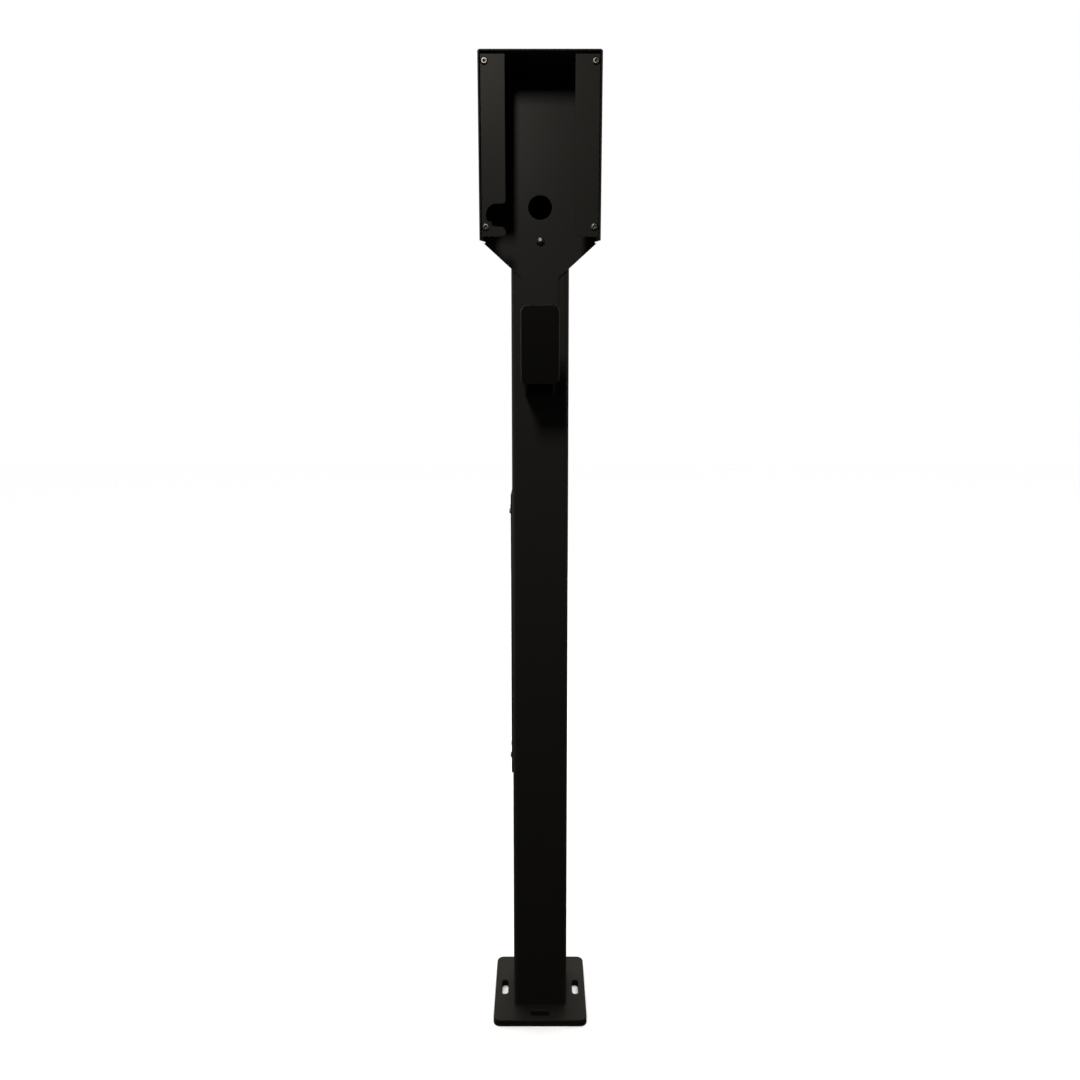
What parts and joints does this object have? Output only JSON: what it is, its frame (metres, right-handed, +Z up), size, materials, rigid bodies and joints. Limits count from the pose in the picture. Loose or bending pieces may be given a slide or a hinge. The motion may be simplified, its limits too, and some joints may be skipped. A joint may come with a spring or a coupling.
{
  "type": "electric vehicle charging post",
  "caption": "Square steel pedestal with a slotted base plate, an open-fronted sheet head for a charging unit, a cable hook and a screwed service cover.",
  "frame": {"origin": "centre of the base plate's underside, at the mouth of the cable entry, on the axis of the post", "axes": "+Z up the post; -Y is the front, where the bay opens; the service cover is on the -X side"},
  "size_m": [0.154, 0.2569, 1.368],
  "materials": {
    "black_coat": "satin black powder coat, fine texture",
    "zinc_plate": "bright zinc plate",
    "stainless": "plain stainless",
    "black_plastic": "moulded black polyethylene",
    "seal_rubber": "closed-cell sponge rubber"
  },
  "bodies": {
    "pedestal": {"base_plate": "black_coat", "base_weld": "black_coat", "post_tube": "black_coat", "post_cap": "black_plastic", "head_back_plate": "black_coat", "head_surround": "black_coat", "left_rail": "black_coat", "right_rail": "black_coat", "rail_lugs": "black_coat", "rail_nuts": "zinc_plate", "rail_screws": "stainless", "earth_stud": "zinc_plate", "earth_washer": "black_coat", "earth_nut": "black_coat", "hook_arm": "black_coat", "hook_end_plate": "black_coat", "cover_nuts": "zinc_plate", "din_rail": "zinc_plate", "din_brackets": "black_coat", "din_screws": "zinc_plate", "post_earth_stud": "zinc_plate", "post_earth_washer": "zinc_plate", "post_earth_nut": "zinc_plate"},
    "cover": {"service_cover": "black_coat", "cover_gasket": "seal_rubber", "cover_screws": "stainless"}
  },
  "joints": [
    {"name": "cover_lift_off", "type": "slide", "parent": "pedestal", "child": "cover", "axis": [-1, 0, 0], "range_m": [0, 0.12]}
  ]
}
